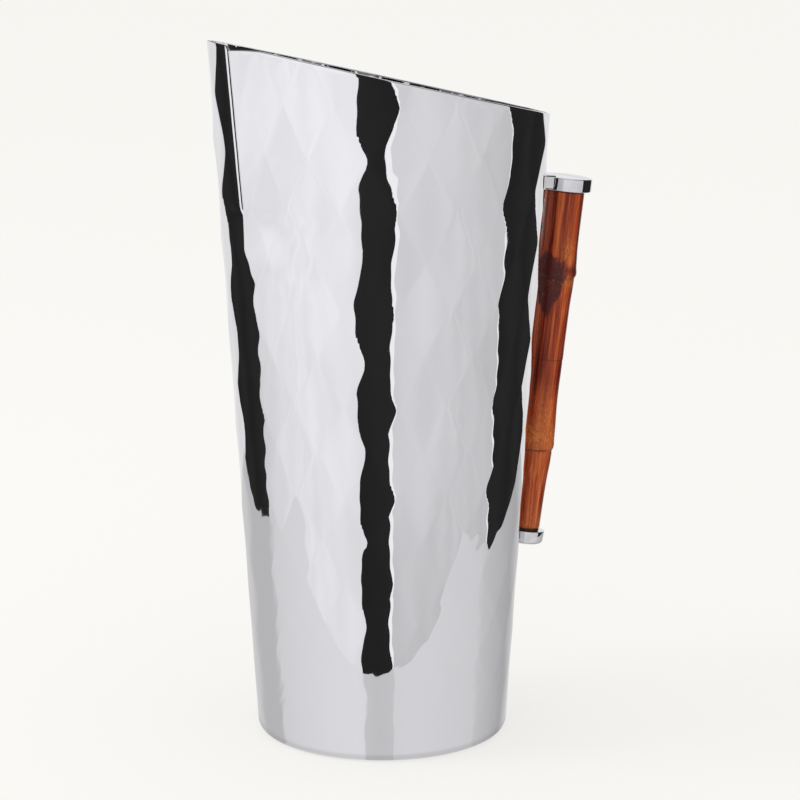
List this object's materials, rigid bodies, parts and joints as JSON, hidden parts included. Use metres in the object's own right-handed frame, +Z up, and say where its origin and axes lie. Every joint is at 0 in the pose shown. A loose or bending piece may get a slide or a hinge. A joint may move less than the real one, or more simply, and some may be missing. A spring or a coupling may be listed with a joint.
{
  "type": "water pitcher",
  "caption": "Tall tapered polished steel water pitcher with a slanted rim, a creased spout and a bamboo handle between polished caps.",
  "frame": {"origin": "centre of the base's underside, on the body's axis and on the surface the pitcher stands on", "axes": "+Z up along the body's axis, the spout points to -X, the handle stands on the +X side, and the part is symmetric about the plane Y = 0"},
  "size_m": [0.1512, 0.1216, 0.2555],
  "materials": {
    "polished_steel": "mirror polished stainless steel with a soft diamond relief",
    "bamboo": "glossy red-brown lacquered bamboo with darker streaks",
    "black_fibre": "matt black gasket",
    "plain_steel": "plain stainless hardware"
  },
  "bodies": {
    "root": {"body_shell": "polished_steel", "base_plate": "polished_steel", "upper_bracket": "polished_steel", "lower_bracket": "polished_steel", "upper_pad": "polished_steel", "lower_pad": "polished_steel", "bamboo_grip": "bamboo", "upper_gasket": "black_fibre", "lower_gasket": "black_fibre", "tie_rod": "plain_steel", "rod_washer": "plain_steel", "rod_nut": "plain_steel"}
  },
  "joints": []
}
